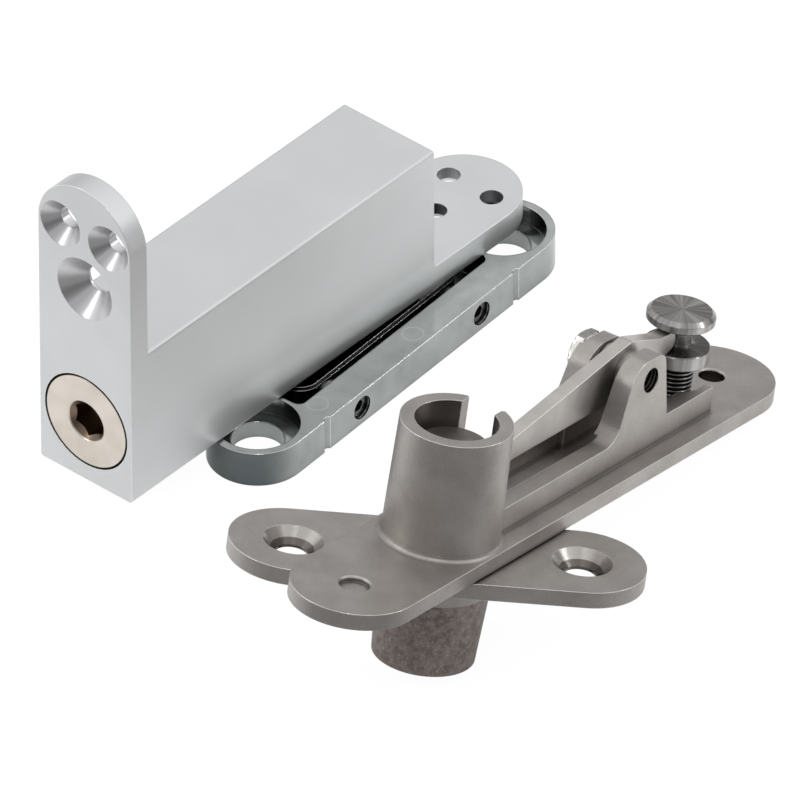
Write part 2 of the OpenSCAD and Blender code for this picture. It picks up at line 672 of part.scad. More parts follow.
// ---- Top pivot: lever, bolt, screw and pin ----
// Side view of the lever: a nose in the pin, a deep rocker at the bolt and a toe in the screw's groove
module lever_outline() {
    nose = [0, nose_h];
    bar_r = nose_r - 1.4;
    bar_a = asin(bar_r / nose_r);
    bar_top = nose + nose_r * [cos(bar_a), sin(bar_a)];
    crown = [lever_arm + 1, lever_bolt_h + 3.4];
    crown_r = 3.4;
    toe = [toe_u, toe_h];
    wrist = toe + [-3.7, toe_r + 0.05];
    chin = [lever_arm + 4, lever_bolt_h - 4.2];
    chin_r = 2.6;
    crown_in = tangent_angle(bar_top, 0, crown, crown_r);
    crown_out = tangent_angle(crown, crown_r, wrist, 0);
    low_a = tangent_angle(toe, toe_r, chin, chin_r);
    polygon(concat(arc(nose, nose_r, 360 - bar_a, bar_a, 28),
        arc(crown, crown_r, crown_in, crown_out, 6),
        [wrist], arc(toe, toe_r, 105, low_a, 16), arc(chin, chin_r, low_a, -90, 4),
        [[lever_arm - 45, chin.y - chin_r]]));
}
module lever() {
    hub_w = ear_gap - 0.2;
    color("silver") at_top() difference() {
        union() {
            upright(lever_t) lever_outline();
            translate([lever_arm, hub_w / 2, lever_bolt_h]) rotate([90, 0, 0])
                cylinder(d = bolt_d + 3.6, h = hub_w);
        }
        translate([lever_arm, plate_w, lever_bolt_h]) rotate([90, 0, 0])
            cylinder(d = bolt_d + 2 * running_gap, h = 2 * plate_w);
    }
}
module lever_bolt() {
    tip = -ear_half + 0.8;
    color("white") at_top() translate([lever_arm, 0, lever_bolt_h]) rotate([-90, 0, 0]) {
        translate([0, 0, tip]) cylinder(d = bolt_d, h = ear_seat - tip + 1);
        translate([0, 0, ear_seat]) intersection() {
            cylinder(d = bolt_af * 2 / sqrt(3), h = bolt_head_t, $fn = 6);
            cylinder(d1 = bolt_af * 1.5, d2 = bolt_af * 0.99, h = bolt_head_t);
        }
    }
}
module adjusting_screw() {
    r = screw_d / 2;
    root = r - screw_pitch * 0.6;
    turns = floor((collar_h - screw_tip) / screw_pitch);
    color("darkgray") at_top() translate([screw_u, 0, 0]) difference() {
        rotate_extrude() {
            // Thread drawn as rings, then the collar, the neck and the chamfered disc
            polygon([[0, screw_tip], [root, screw_tip],
                for (i = [0 : turns - 1], p = [[0.15, root], [0.4, r], [0.6, r], [0.85, root]])
                    [p.y, screw_tip + (i + p.x) * screw_pitch],
                [root, collar_h], [0, collar_h]]);
            polygon([[0, collar_h - eps], [root, collar_h - eps], [root, collar_h],
                [collar_d / 2 - 0.3, collar_h], [collar_d / 2, collar_h + 0.3],
                [collar_d / 2, groove_bottom - 0.4],
                [collar_d / 2 - 0.4, groove_bottom], [neck_screw_d / 2 + 0.6, groove_bottom],
                [neck_screw_d / 2, groove_bottom + 0.6], [neck_screw_d / 2, groove_top],
                [disc_d / 2 - 0.2, groove_top], [disc_d / 2, groove_top + 0.2],
                [disc_d / 2, groove_top + disc_t - 0.9], [disc_d / 2 - 0.9, groove_top + disc_t],
                [0, groove_top + disc_t]]);
        }
        translate([0, 0, screw_tip - 1]) cylinder(d = 5 * 2 / sqrt(3), h = 5, $fn = 6);
    }
}
module pivot_pin() {
    window_h = 2 * nose_r + 0.3;
    window_w = lever_t + 0.6;
    shoulder = 1.6;
    end_d = pin_d - 2 * shoulder;
    color("gainsboro") at_top() difference() {
        union() {
            translate([0, 0, pin_bottom + shoulder])
                cylinder(d = pin_d, h = pin_top - pin_bottom - 2 * shoulder);
            translate([0, 0, pin_bottom]) cylinder(d1 = end_d, d2 = pin_d, h = shoulder);
            translate([0, 0, pin_top - shoulder]) cylinder(d1 = pin_d, d2 = end_d, h = shoulder);
        }
        // Window for the lever's nose
        translate([-nose_r - 1.2, -window_w / 2, nose_h - window_h / 2]) cube([pin_d, window_w, window_h]);
    }
}
module door_plate() {
    bush_d = pin_d + 2 * running_gap + 2 * bush_wall;
    color("rosybrown") at_top() rotate([0, 0, door_turn]) difference() {
        union() {
            translate([0, 0, door_bottom]) linear_extrude(door_t) stadium(door_pitch, door_w);
            translate([0, 0, socket_bottom])
                cylinder(d1 = socket_bottom_d, d2 = socket_top_d, h = socket_h + eps);
        }
        translate([0, 0, socket_bottom + 4]) cylinder(d = bush_d, h = socket_h + door_t + 2);
        for (s = [-1, 1]) translate([s * door_pitch / 2, 0, door_top])
            sunk_hole(door_hole_d, door_sink_d, door_t);
    }
}
module socket_bush() {
    bush_h = door_top - socket_bottom - 4 - 0.2;
    color("peru") at_top() translate([0, 0, socket_bottom + 4])
        ring(pin_d + 2 * running_gap + 2 * bush_wall, pin_d + 2 * running_gap, bush_h);
}

closer_body();
bore_plug();
plug_seal();
spindle();
upper_bearing();
lower_bearing();
spindle_seal();
piston();
roller();
roller_axle();
main_spring();
spring_seat();
floor_bracket();
bracket_shoe();
set_screw_front();
set_screw_rear();
frame_plate();
lever();
lever_bolt();
adjusting_screw();
pivot_pin();
door_plate();
socket_bush();
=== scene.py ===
"""Pivot hinge set for a swing door: finishes, small details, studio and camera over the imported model."""

import json
import math

import bpy
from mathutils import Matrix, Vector


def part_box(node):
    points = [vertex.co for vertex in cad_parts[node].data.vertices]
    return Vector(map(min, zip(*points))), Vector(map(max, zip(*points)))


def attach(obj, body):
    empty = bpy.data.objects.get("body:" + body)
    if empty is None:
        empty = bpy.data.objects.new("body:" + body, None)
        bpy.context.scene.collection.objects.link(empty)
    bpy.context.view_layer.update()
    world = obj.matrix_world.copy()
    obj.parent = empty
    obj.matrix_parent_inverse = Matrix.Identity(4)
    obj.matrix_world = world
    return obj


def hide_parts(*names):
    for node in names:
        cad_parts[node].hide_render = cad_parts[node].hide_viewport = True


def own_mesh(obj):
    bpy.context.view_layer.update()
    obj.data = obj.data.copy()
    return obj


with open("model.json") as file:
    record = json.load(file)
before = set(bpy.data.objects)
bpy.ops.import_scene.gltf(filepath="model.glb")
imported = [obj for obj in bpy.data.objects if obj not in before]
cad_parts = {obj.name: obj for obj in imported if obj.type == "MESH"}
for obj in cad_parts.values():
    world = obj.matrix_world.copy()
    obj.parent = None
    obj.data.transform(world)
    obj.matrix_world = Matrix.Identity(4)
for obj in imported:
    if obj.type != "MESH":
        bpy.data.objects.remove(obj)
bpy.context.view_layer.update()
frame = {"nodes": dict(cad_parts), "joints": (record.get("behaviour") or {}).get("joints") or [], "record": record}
NODES = frame["nodes"]
MM = 0.001


# ---------------------------------------------------------------- places on the hinge
def joint(name):
    return next(j for j in frame["joints"] if j["name"] == name)


def mount(name):
    return next(m for m in frame["record"]["mounts"] if m["name"] == name)


def box(node):
    return tuple(Vector(corner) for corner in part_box(node))


# The top pivot's own directions: along its plate, across it and off it
TOP_O = Vector(joint("door_plate_swing")["pos_m"])
TOP_W = Vector(joint("door_plate_swing")["axis"])
TOP_V = Vector(joint("lever_tilt")["axis"])
TOP_U = TOP_V.cross(TOP_W)
BOLT = Vector(joint("lever_tilt")["pos_m"])


def on_top(u, v, w):
    """A point of the top pivot, in millimetres along its plate, across it and off it."""
    return TOP_O + (TOP_U * u + TOP_V * v + TOP_W * w) * MM


def middle_along(node, way):
    """Where the middle of a node lies along one of the top pivot's directions, in millimetres."""
    solid = NODES[node]
    reach = [(solid.matrix_world @ corner.co - TOP_O).dot(way) for corner in solid.data.vertices]
    return (min(reach) + max(reach)) / 2 / MM


# The screw's axis, the radii of its thread, and the heights of its collar and disc, in millimetres
SCREW_U = middle_along("adjusting_screw", TOP_U)
THREAD_CREST, THREAD_ROOT = 4.86, 4.25
COLLAR_FOOT, COLLAR_TOP, DISC_FOOT = 11.5, 15.2, 21.2
# The frame plate's far hole; the door plate's holes with their countersinks, and the top of its socket
FAR_HOLE_U = (Vector(mount("frame_plate_far_hole")["pos_m"]) - TOP_O).dot(TOP_U) / MM
DOOR_HOLES = [Vector(mount(f"door_plate_{end}_hole")["pos_m"]) for end in ("front", "rear")]
DOOR_THROAT_R = mount("door_plate_front_hole")["dims"]["r_mm"] + 1.3
DOOR_CUT_R = 7.3
SOCKET_TOP_W = (DOOR_HOLES[0] - TOP_O).dot(TOP_W) / MM - 4

# The closer: its underside and the middle of the plug's face in metres, the plug's radius in millimetres
BLOCK_FLOOR = box("closer_body")[0].z
PLUG_LO, PLUG_HI = box("bore_plug")
PLUG_FACE = Vector((PLUG_LO.x, (PLUG_LO.y + PLUG_HI.y) / 2, (PLUG_LO.z + PLUG_HI.z) / 2))
PLUG_R = (PLUG_HI.z - PLUG_LO.z) / 2 / MM

# The bracket: the middles and the radius of the ejector marks on top, in millimetres
EJECTOR_MARKS = ((70.4, -21.2), (36.1, -21.7))
EJECTOR_R = 2.5


# ---------------------------------------------------------------- camera
AZIMUTH, ELEVATION = math.radians(49.077), math.radians(38.189)
TARGET = Vector((55.007, -30.565, 3.567)) * MM
DISTANCE, LENS = 5.486, 1064.8
AWAY = Vector((math.sin(AZIMUTH), math.cos(AZIMUTH), 0))
LOOK = AWAY * math.cos(ELEVATION) - Vector((0, 0, math.sin(ELEVATION)))


def make_camera():
    data = bpy.data.cameras.new("camera")
    data.sensor_width = 36
    data.lens = LENS
    data.clip_end = 100
    camera = bpy.data.objects.new("camera", data)
    camera.location = TARGET - LOOK * DISTANCE
    camera.rotation_euler = LOOK.to_track_quat("-Z", "Y").to_euler()
    bpy.context.scene.collection.objects.link(camera)
    bpy.context.scene.camera = camera


make_camera()
bpy.context.scene.view_settings.view_transform = "Standard"
bpy.context.scene.view_settings.look = "None"


# ---------------------------------------------------------------- finishes
def tint(code):
    """Linear colour of a hex sRGB code."""
    parts = [int(code[i : i + 2], 16) / 255 for i in (1, 3, 5)]
    return tuple(c / 12.92 if c <= 0.04045 else ((c + 0.055) / 1.055) ** 2.4 for c in parts) + (1,)


def fill(tree, node, inputs):
    """A value or a link for each of a node's inputs."""
    for key, value in inputs.items():
        if isinstance(value, bpy.types.NodeSocket):
            tree.links.new(value, node.inputs[key])
        else:
            node.inputs[key].default_value = value


def add(tree, kind, inputs=None, out=0, **settings):
    """Add one node with its settings and inputs, and give back one of its outputs."""
    node = tree.nodes.new("ShaderNode" + kind)
    for key, value in settings.items():
        setattr(node, key, value)
    fill(tree, node, inputs or {})
    return node.outputs[out] if node.outputs else None


def new_finish(name):
    """A finish to build on, its tree, and the place on the part in metres."""
    material = bpy.data.materials.new(name)
    material.use_nodes = True
    tree = material.node_tree
    return material, tree, add(tree, "TexCoord", out="Object")


def finish(material, inputs):
    """Settle the finish on its shader."""
    tree = material.node_tree
    fill(tree, tree.nodes["Principled BSDF"], inputs)
    return material


def patches(tree, place, size, low, high, out_low=0.0, out_high=1.0, detail=3.0):
    """Cloudy patches of a real size in millimetres, between two levels."""
    shape = {"Vector": place, "Scale": 1 / (size * MM), "Detail": detail, "Roughness": 0.6}
    cloud = add(tree, "TexNoise", shape, "Fac")
    return add(tree, "MapRange", {0: cloud, 1: low, 2: high, 3: out_low, 4: out_high})


def coated(tree, base, *coats):
    """A colour with others laid over it in turn, each as (where, how much of it, hex code or colour)."""
    color = tint(base) if isinstance(base, str) else base
    for where, share, coat in coats:
        amount = add(tree, "Math", {0: where, 1: share}, operation="MULTIPLY")
        coat = tint(coat) if isinstance(coat, str) else coat
        color = add(tree, "Mix", {0: amount, 6: color, 7: coat}, 2, data_type="RGBA")
    return color


def within(tree, *spans):
    """1 where every distance lies between its two limits in millimetres; None leaves a side open."""
    blur, mask = 0.06, 1.0
    for distance, low, high in spans:
        for limit, step in ((low, blur), (high, -blur)):
            if limit is not None:
                past = add(tree, "MapRange", {0: distance, 1: (limit - step) * MM, 2: (limit + step) * MM})
                mask = add(tree, "Math", {0: mask, 1: past}, operation="MULTIPLY")
    return mask


def waves(tree, distance, pitch):
    """Even waves along a distance, their pitch in millimetres: tool marks and the ridges of a thread."""
    turns = add(tree, "Math", {0: distance, 1: 2 * math.pi / (pitch * MM)}, operation="MULTIPLY")
    return add(tree, "Math", {0: turns}, operation="SINE")


def soft_edges(tree, radius):
    """(shading with rounded edges, outer edges, inner corners): the second get a painted highlight, partly wear;
    the last, found by occlusion, get painted shade.
    """
    rounded = add(tree, "Bevel", {"Radius": radius * MM}, samples=6)
    flat = add(tree, "NewGeometry", out="Normal")
    lean = add(tree, "VectorMath", {0: rounded, 1: flat}, "Value", operation="DOT_PRODUCT")
    near = add(tree, "MapRange", {0: lean, 1: 0.98, 2: 0.8})
    # Occlusion finds the inner corners that get painted shade
    open_sky = add(tree, "AmbientOcclusion", {"Distance": 1.6 * MM}, "AO", samples=4)
    painted_corner_shade = add(tree, "MapRange", {0: open_sky, 1: 0.94, 2: 0.5})
    free = add(tree, "MapRange", {0: open_sky, 1: 0.7, 2: 0.9})
    return rounded, add(tree, "Math", {0: near, 1: free}, operation="MULTIPLY"), painted_corner_shade


def round_axis(tree, place, point, axis):
    """(distance from an axis, direction away from it, place along it); lathe marks lie across the second."""
    arm = add(tree, "VectorMath", {0: place, 1: tuple(point)}, operation="SUBTRACT")
    turn = add(tree, "VectorMath", {0: tuple(axis), 1: arm}, operation="CROSS_PRODUCT")
    return (
        add(tree, "VectorMath", {0: turn}, "Value", operation="LENGTH"),
        add(tree, "VectorMath", {0: turn, 1: tuple(axis)}, operation="CROSS_PRODUCT"),
        add(tree, "VectorMath", {0: arm, 1: tuple(axis)}, "Value", operation="DOT_PRODUCT"),
    )


def countersinks(tree, place, holes):
    """(where the cut cones are, direction away from each hole's axis), for holes as (point, axis, reach)."""
    normal = add(tree, "NewGeometry", out="Normal")
    cones, across = 0.0, (0.0, 0.0, 1.0)
    for point, axis, reach in holes:
        away, out, _ = round_axis(tree, place, point, axis)
        facing = add(tree, "VectorMath", {0: normal, 1: tuple(axis)}, "Value", operation="DOT_PRODUCT")
        level = add(tree, "Math", {0: facing}, operation="ABSOLUTE")
        slanted = add(tree, "Math", {0: level, 1: 0.95}, operation="LESS_THAN")
        cone = add(tree, "Math", {0: within(tree, (away, None, reach)), 1: slanted}, operation="MULTIPLY")
        across = add(tree, "Mix", {0: cone, 4: across, 5: out}, 1, data_type="VECTOR")
        cones = add(tree, "Math", {0: cones, 1: cone}, operation="MAXIMUM")
    return cones, across


def anodised_aluminium():
    # Bead-blasted and anodised aluminium: an even light satin, a grain of about 0.25 mm, and crisp edges
    material, tree, place = new_finish("anodised_aluminium")
    rounded, edge, painted_corner_shade = soft_edges(tree, 0.3)
    grain = patches(tree, place, 0.25, 0.25, 0.75)
    tone = patches(tree, place, 30, 0.35, 0.65)
    # Countersinks of the front tab: freshly cut, so brighter and shinier than the skin
    single_r, pair_r, outward = 8.5, 6.4, (-1, 0, 0)
    pair = mount("front_tab_pair")
    half = Vector((0, pair["dims"]["spacing_x_mm"] / 2 * MM, 0))
    holes = [(Vector(mount("front_tab_single")["pos_m"]), outward, single_r)]
    holes += [(Vector(pair["pos_m"]) + half * side, outward, pair_r) for side in (-1, 1)]
    turned, tangent = countersinks(tree, place, holes)
    # Painted highlight along the outer edges, and painted shade in the inner corners
    color = coated(
        tree, "#DADBDC",
        (tone, 1.0, "#DFE0E1"), (edge, 1.0, "#FFFFFF"), (painted_corner_shade, 0.45, "#77787A"), (turned, 1.0, "#CDCDCF"),
    )
    # The rear tab's bores get painted shade inside, and the middle one, over the block, the darkest
    bore_r, tab_rim = 2.86, 6.2
    rear = mount("rear_tab_pair")
    half = Vector((0, rear["dims"]["spacing_y_mm"] / 2 * MM, 0))
    bores = [(Vector(rear["pos_m"]) + half * side, "#A6A7A9") for side in (1, -1)]
    bores.append((Vector(mount("rear_tab_single")["pos_m"]), "#5C5D60"))
    for point, bore_shade in bores:
        point.z = BLOCK_FLOOR + tab_rim * MM
        away, _, depth = round_axis(tree, place, point, (0, 0, 1))
        color = coated(tree, color, (within(tree, (away, None, bore_r), (depth, None, 0)), 1.0, bore_shade))
    polish = add(tree, "Math", {0: edge, 1: 0.8}, operation="MULTIPLY")
    rough = add(tree, "Mix", {0: polish, 2: patches(tree, place, 0.25, 0.2, 0.8, 0.47, 0.55), 3: 0.3})
    grit = {"Height": grain, "Distance": 0.004 * MM, "Strength": 0.3, "Normal": rounded}
    return finish(
        material,
        {
            "Base Color": color,
            "Metallic": 1.0,
            "Roughness": add(tree, "Mix", {0: turned, 2: rough, 3: 0.3}),
            "Normal": add(tree, "Bump", grit),
            "Tangent": tangent,
            "Anisotropic": add(tree, "Math", {0: turned, 1: 0.7}, operation="MULTIPLY"),
        },
    )


def lathe_turned(name, light, dark, rough, point, axis, streak, shadow, painted_streaks=0.0):
    # Turned on a lathe: fine rings, drawn 0.12 mm apart so that they show, that stretch the highlights
    material, tree, place = new_finish(name)
    away, out, depth = round_axis(tree, place, point, axis)
    rings = waves(tree, away, 0.12)
    rounded = soft_edges(tree, 0.22)[0]
    color = coated(tree, light, (patches(tree, place, 6, 0.3, 0.75, detail=1), 1.0, dark))
    if painted_streaks:
        # Painted reflection: dark wedges swept out from the middle, standing for the streaked highlights of a
        # turned face
        side = add(tree, "VectorMath", {0: out}, operation="NORMALIZE")
        fan = {"Vector": side, "Scale": 2.4, "Detail": 6.0, "Roughness": 0.7}
        painted_wedges = add(tree, "MapRange", {0: add(tree, "TexNoise", fan, "Fac"), 1: 0.4, 2: 0.6})
        color = coated(tree, color, (painted_wedges, painted_streaks, "#5E5C5B"))
    grooves = {"Height": rings, "Distance": 0.0025 * MM, "Strength": 0.3, "Normal": rounded}
    return finish(
        material,
        {
            "Base Color": shadow(tree, color, away, depth),
            "Metallic": 1.0,
            "Roughness": patches(tree, place, 6, 0.3, 0.7, rough - 0.02, rough + 0.03, detail=1),
            "Normal": add(tree, "Bump", grooves),
            "Tangent": out,
            "Anisotropic": streak,
        },
    )


def plug_shadow(tree, color, away, depth):
    """Painted shade: a dark gap round the plug's rim and dark walls in its hex socket."""
    gap, socket_r, mouth = 0.35, 7, 0.25
    rim = within(tree, (away, PLUG_R - gap, None))
    socket = within(tree, (away, None, socket_r), (depth, None, -mouth))
    return coated(tree, color, (rim, 1.0, "#1D1B19"), (socket, 1.0, "#7A6A5C"))


def thread_shadow(tree, color, away, depth):
    """Painted shade: the thread's roots stay dark, and the neck between collar and disc, under the disc, is
    dulled.
    """
    roots = within(tree, (away, None, THREAD_CREST - 0.11), (depth, None, COLLAR_FOOT))
    neck = within(tree, (depth, COLLAR_TOP - 0.2, DISC_FOOT - 0.1))
    return coated(tree, color, (roots, 1.0, "#2E2C2A"), (neck, 0.8, "#5F5C5A"))


def blasted_casting(name, light, dark, rubbed_and_highlight, rough, depth=0.03, speckle=0.0, holes=(), raw_skin_and_hole_shade=None):
    # Investment casting in stainless steel, blasted: a pitted skin of 0.3 to 1 mm grain; edges bright, partly
    # rubbed and partly a painted highlight, and inner corners in painted shade
    material, tree, place = new_finish(name)
    rounded, edge, painted_corner_shade = soft_edges(tree, 0.32)
    fine = patches(tree, place, 0.35, 0.25, 0.75)
    coarse = patches(tree, place, 1.1, 0.3, 0.7)
    tone = patches(tree, place, 9, 0.33, 0.67, detail=5)
    # Painted shade in the inner corners
    color = coated(tree, dark, (tone, 1.0, light), (fine, 0.14 + speckle, rubbed_and_highlight), (painted_corner_shade, 0.7, "#4A4542"))
    # The frame plate gets its painted hole shade here, the door plate its raw socket skin
    if raw_skin_and_hole_shade:
        color = raw_skin_and_hole_shade(tree, place, color)
    # Outer edges made bright: partly rubbed, partly a painted highlight
    color = coated(tree, color, (edge, 1.0, rubbed_and_highlight))
    polish = add(tree, "Math", {0: edge, 1: 0.9}, operation="MULTIPLY")
    cut = {}
    if holes:
        # Countersinks cut after the blasting, over throats that stay dark
        turned, tangent = countersinks(tree, place, holes)
        color = coated(tree, color, (turned, 1.0, "#B4B0AC"))
        for point, axis, _ in holes:
            away = round_axis(tree, place, point, axis)[0]
            color = coated(tree, color, (within(tree, (away, None, DOOR_THROAT_R)), turned, "#6E6965"))
        polish = add(tree, "Math", {0: turned, 1: polish}, operation="MAXIMUM")
        streak = add(tree, "Math", {0: turned, 1: 0.7}, operation="MULTIPLY")
        cut = {"Tangent": tangent, "Anisotropic": streak}
    blasted = patches(tree, place, 0.5, 0.25, 0.75, rough - 0.05, rough + 0.06)
    low = add(tree, "Math", {0: coarse, 1: 0.4}, operation="MULTIPLY")
    height = add(tree, "Math", {0: fine, 1: 0.6, 2: low}, operation="MULTIPLY_ADD")
    pits = {"Height": height, "Distance": depth * MM, "Strength": 0.6, "Normal": rounded}
    return finish(
        material,
        {
            "Base Color": color,
            "Metallic": 1.0,
            "Roughness": add(tree, "Mix", {0: polish, 2: blasted, 3: 0.22}),
            "Normal": add(tree, "Bump", pits),
            **cut,
        },
    )


def ridges(tree, depth, dark, light):
    """Painted shade and highlight: dark and light bands for the thread ridges down a tapped hole, every 0.9 mm."""
    crest = add(tree, "MapRange", {0: waves(tree, depth, 0.9), 1: 0.2, 2: 0.9})
    return coated(tree, dark, (crest, 1.0, light))


def frame_hole_shade(tree, place, color):
    """Painted shade inside the plate's holes and the boss."""
    hole_r, boss_r, boss_top = 3.15, 9.95, 60
    for point, axis, radius, tone in (
        (on_top(FAR_HOLE_U, 0, -0.35), TOP_W, hole_r, "#34302D"),
        (BOLT - TOP_V * 4 * MM, TOP_V, hole_r, "#3A3633"),
        (on_top(0, 0, boss_top), TOP_W, boss_r, "#7E7874"),
    ):
        away, _, depth = round_axis(tree, place, point, axis)
        color = coated(tree, color, (within(tree, (away, None, radius), (depth, None, 0)), 1.0, tone))
    # The near ear is tapped for the bolt
    away, _, depth = round_axis(tree, place, BOLT, TOP_V)
    tapped = within(tree, (away, None, hole_r), (depth, None, -3))
    # Its thread is painted as bands of shade and highlight
    return coated(tree, color, (tapped, 1.0, ridges(tree, depth, "#2E2A28", "#A8A39F")))


def raw_socket(tree, place, color):
    """The socket under the door plate stays as cast: browner, with bright specks of about 0.6 mm."""
    _, _, depth = round_axis(tree, place, on_top(0, 0, SOCKET_TOP_W), TOP_W)
    crust = patches(tree, place, 1.8, 0.38, 0.64, detail=5)
    specks = patches(tree, place, 0.6, 0.58, 0.7)
    raw = coated(tree, "#80746F", (crust, 1.0, "#9C938F"), (specks, 0.6, "#CFC8C3"))
    return coated(tree, color, (within(tree, (depth, None, 0)), 1.0, raw))


def zinc_plate():
    # Die casting with bright zinc plate: smooth, shiny and slightly wavy, with faint stains and ejector marks
    material, tree, place = new_finish("zinc_plate")
    rounded, edge, painted_corner_shade = soft_edges(tree, 0.5)
    rings = 0.0
    for x, y in EJECTOR_MARKS:
        away = round_axis(tree, place, Vector((x, y, 0)) * MM, (0, 0, 1))[0]
        ring = within(tree, (away, EJECTOR_R - 0.2, EJECTOR_R + 0.2))
        rings = add(tree, "Math", {0: rings, 1: ring}, operation="MAXIMUM")
    # Painted reflection: the upright sides of the end pushed under the closer are darkened, standing for the
    # shaded floor they mirror
    dark_reflection_ends, dark_reflection_full = 24, 13
    along = add(tree, "SeparateXYZ", {0: place}, "X")
    limits = {0: along, 1: dark_reflection_ends * MM, 2: dark_reflection_full * MM}
    dark_reflection_fade = add(tree, "MapRange", limits, interpolation_type="SMOOTHSTEP")
    upward = add(tree, "SeparateXYZ", {0: add(tree, "NewGeometry", out="Normal")}, "Z")
    upright = add(tree, "MapRange", {0: upward, 1: 0.6, 2: 0.3})
    painted_dark_reflection = add(tree, "Math", {0: dark_reflection_fade, 1: upright}, operation="MULTIPLY")
    # Painted highlight along the outer edges, and painted shade in the inner corners
    color = coated(
        tree, "#9DA2A0",
        (patches(tree, place, 14, 0.35, 0.65, detail=2), 1.0, "#AEB2B0"),
        (patches(tree, place, 3, 0.5, 0.72), 0.14, "#6B7474"),
        (edge, patches(tree, place, 1.5, 0.3, 0.5, 0.7, 1.0), "#FFFFFF"),
        (rings, 0.3, "#D4DAD9"),
        (painted_corner_shade, 0.2, "#3C4244"),
        (painted_dark_reflection, 0.75, "#3A4449"),
    )
    # The set screws' holes are tapped into the bracket's side
    tapped_r = 3.05
    ends = [Vector(mount(f"bracket_{end}_hole")["pos_m"]) for end in ("front", "rear")]
    sideways = (ends[1] - ends[0]).normalized().cross(Vector((0, 0, 1)))
    for node in ("set_screw_front", "set_screw_rear"):
        low, high = box(node)
        away, _, depth = round_axis(tree, place, (low + high) / 2, sideways)
        # Their threads are painted as bands of shade and highlight
        painted_thread_bands = ridges(tree, depth, "#2A2E2E", "#C6CCCB")
        color = coated(tree, color, (within(tree, (away, None, tapped_r)), 1.0, painted_thread_bands))
    wavy = patches(tree, place, 7, 0.2, 0.8, detail=2)
    height = add(tree, "Math", {0: rings, 1: -0.2, 2: wavy}, operation="MULTIPLY_ADD")
    ripple = {"Height": height, "Distance": 0.1 * MM, "Strength": 0.3, "Normal": rounded}
    return finish(
        material,
        {
            "Base Color": color,
            "Metallic": 1.0,
            "Roughness": patches(tree, place, 3, 0.3, 0.75, 0.12, 0.22),
            "Normal": add(tree, "Bump", ripple),
        },
    )


def machined(name, light, dark, rough, radius=0.3, worn_and_highlight=None):
    # Machined or drawn metal: smooth, with a slight change of tone every few millimetres
    material, tree, place = new_finish(name)
    tone = patches(tree, place, 5, 0.35, 0.7)
    rounded, edge, _ = soft_edges(tree, radius)
    # Outer edges brightened: partly worn, partly a painted highlight
    rubbed_and_highlight = (edge, 1.0, worn_and_highlight) if worn_and_highlight else (edge, 0.5, light)
    ripple = {"Height": tone, "Distance": 0.01 * MM, "Strength": 0.3, "Normal": rounded}
    return finish(
        material,
        {
            "Base Color": coated(tree, light, (tone, 1.0, dark), rubbed_and_highlight),
            "Metallic": 1.0,
            "Roughness": patches(tree, place, 3, 0.3, 0.7, rough - 0.04, rough + 0.05),
            "Normal": add(tree, "Bump", ripple),
        },
    )


def nitrile_rubber():
    # Moulded black rubber of the seal rings: matt
    material, tree, place = new_finish("nitrile_rubber")
    color = coated(tree, "#141414", (patches(tree, place, 3, 0.3, 0.7), 1.0, "#222222"))
    return finish(material, {"Base Color": color, "Roughness": 0.6})


def dress(material, *names):
    for name in names:
        node = NODES[name]
        if not node.data.materials:
            node.data.materials.append(material)
        for slot in node.material_slots:
            slot.material = material


dress(anodised_aluminium(), "closer_body")
dress(zinc_plate(), "floor_bracket")
dress(nitrile_rubber(), "plug_seal", "spindle_seal")

# Turned and nickel-plated: a warm, half-bright face with faint rings
nickel_plate = lathe_turned(
    "nickel_plate", "#DDD5CB", "#CFC6BB", 0.3, PLUG_FACE, (-1, 0, 0), 0.3, plug_shadow
)
dress(nickel_plate, "bore_plug")

# Turned bright steel: painted reflection streaks sweep round the disc, and painted shade keeps the roots of the
# thread dark
SCREW_FOOT = on_top(SCREW_U, 0, 0)
turned_steel = lathe_turned(
    "turned_steel", "#BEBCBA", "#B2AFAD", 0.25, SCREW_FOOT, TOP_W, 0.9, thread_shadow, 0.75
)
dress(turned_steel, "adjusting_screw")

# Blasted after casting: an even warm grey, with painted shade in the holes
cast_stainless = blasted_casting(
    "cast_stainless", "#B3AEAA", "#A19C98", "#FFFDFA", 0.42, 0.04, raw_skin_and_hole_shade=frame_hole_shade
)
dress(cast_stainless, "frame_plate")

# Blasted more finely: lighter and smoother
dress(blasted_casting("blasted_stainless", "#CBC7C3", "#B9B5B1", "#FFFDFA", 0.4), "lever")

# A coarser, speckled casting with machined countersinks, its socket left raw
cut_holes = [(point, TOP_W, DOOR_CUT_R) for point in DOOR_HOLES]
rough_cast_stainless = blasted_casting(
    "rough_cast_stainless", "#AFAAA6", "#9E9995", "#FFFDFA", 0.45, 0.06, 0.05, cut_holes, raw_socket
)
dress(rough_cast_stainless, "door_plate")

# Blackened and oiled steel: nearly black and glossy, its edges bright, partly worn and partly a painted highlight
dress(machined("black_oxide", "#161617", "#0D0D0E", 0.2, 0.24, "#FFFFFF"), "bracket_shoe")

# Bright drawn steel: pale and shiny
bright_steel = machined("bright_steel", "#CFCCC9", "#B6B3AF", 0.2)
dress(bright_steel, "lever_bolt", "spring_seat", "piston")

# Ground steel: a darker, even half-gloss
dress(machined("ground_steel", "#8F8B88", "#7D7976", 0.3), "pivot_pin")

# Hardened steel: mid grey, with an oily shine
hardened_steel = machined("hardened_steel", "#8C8B8A", "#757473", 0.28)
dress(hardened_steel, "spindle", "roller", "roller_axle", "set_screw_front", "set_screw_rear")

# Bearing bronze: warm and nearly matt
dress(machined("bronze", "#B08D57", "#97733F", 0.4), "upper_bearing", "lower_bearing", "socket_bush")

# Oil-tempered spring wire: dark, with a dull shine
spring_wire = machined("spring_steel", "#4A4A4C", "#3A3A3B", 0.35)
dress(spring_wire, "main_spring")


